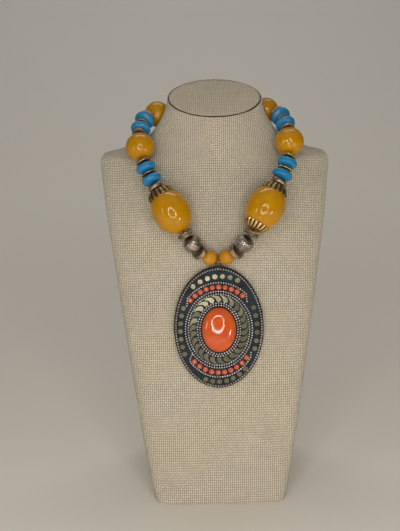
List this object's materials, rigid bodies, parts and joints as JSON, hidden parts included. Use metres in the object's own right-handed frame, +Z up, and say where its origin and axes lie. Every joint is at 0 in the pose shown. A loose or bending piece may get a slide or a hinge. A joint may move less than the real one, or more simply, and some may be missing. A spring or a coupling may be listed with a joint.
{
  "type": "medallion necklace on neck bust display",
  "caption": "Beaded necklace with an oval inlaid medallion that swings from a jump ring, held on a plain linen-covered neck bust that stands on its flat base.",
  "frame": {"origin": "centre of the bust's flat base, on the surface that it stands on", "axes": "+X to the right as the front is seen, +Y to the back, +Z up"},
  "size_m": [0.1636, 0.098, 0.2909],
  "materials": {
    "linen": "coarse plain-woven linen",
    "amber_resin": "polished amber resin",
    "blue_glass": "glossy opaque blue",
    "antique_brass": "darkened antique brass",
    "gold_plate": "bright gold plate",
    "old_silver": "stamped old silver, dark in the hollows",
    "dark_lac": "dark lac with brass, silver and coral inlay",
    "coral_stone": "polished coral-red stone",
    "cord": "waxed black cord"
  },
  "bodies": {
    "bust_and_strand": {"bust_form": "linen", "neck_cap": "linen", "left_small_amber": "amber_resin", "left_rondelle_1": "old_silver", "left_silver_bead": "old_silver", "left_rondelle_2": "old_silver", "left_large_amber": "amber_resin", "left_bead_cap": "antique_brass", "left_collar": "antique_brass", "left_blue_1": "blue_glass", "left_thin_spacer_1": "antique_brass", "left_blue_2": "blue_glass", "left_spacer_1": "antique_brass", "left_round_amber": "amber_resin", "left_spacer_2": "antique_brass", "left_blue_3": "blue_glass", "left_thin_spacer_2": "antique_brass", "left_blue_4": "blue_glass", "left_spacer_3": "antique_brass", "left_back_amber": "amber_resin", "right_small_amber": "amber_resin", "right_rondelle_1": "old_silver", "right_silver_bead": "old_silver", "right_rondelle_2": "old_silver", "right_gold_cap": "gold_plate", "right_large_amber": "amber_resin", "right_bead_cap": "antique_brass", "right_collar": "antique_brass", "right_blue_1": "blue_glass", "right_thin_spacer_1": "antique_brass", "right_blue_2": "blue_glass", "right_spacer_1": "antique_brass", "right_round_amber": "amber_resin", "right_spacer_2": "antique_brass", "right_blue_3": "blue_glass", "right_thin_spacer_2": "antique_brass", "right_blue_4": "blue_glass", "right_spacer_3": "antique_brass", "right_back_amber": "amber_resin", "thread_left": "cord", "thread_right": "cord", "clasp": "antique_brass"},
    "pendant": {"jump_ring": "antique_brass", "pendant_setting": "antique_brass", "pendant_ground": "dark_lac", "centre_cabochon": "coral_stone"}
  },
  "joints": [
    {"name": "pendant_swing", "type": "hinge", "parent": "bust_and_strand", "child": "pendant", "pos_m": [0, -0.0234, 0.1708], "axis": [-1, 0, 0], "range_deg": [0, 90]}
  ]
}
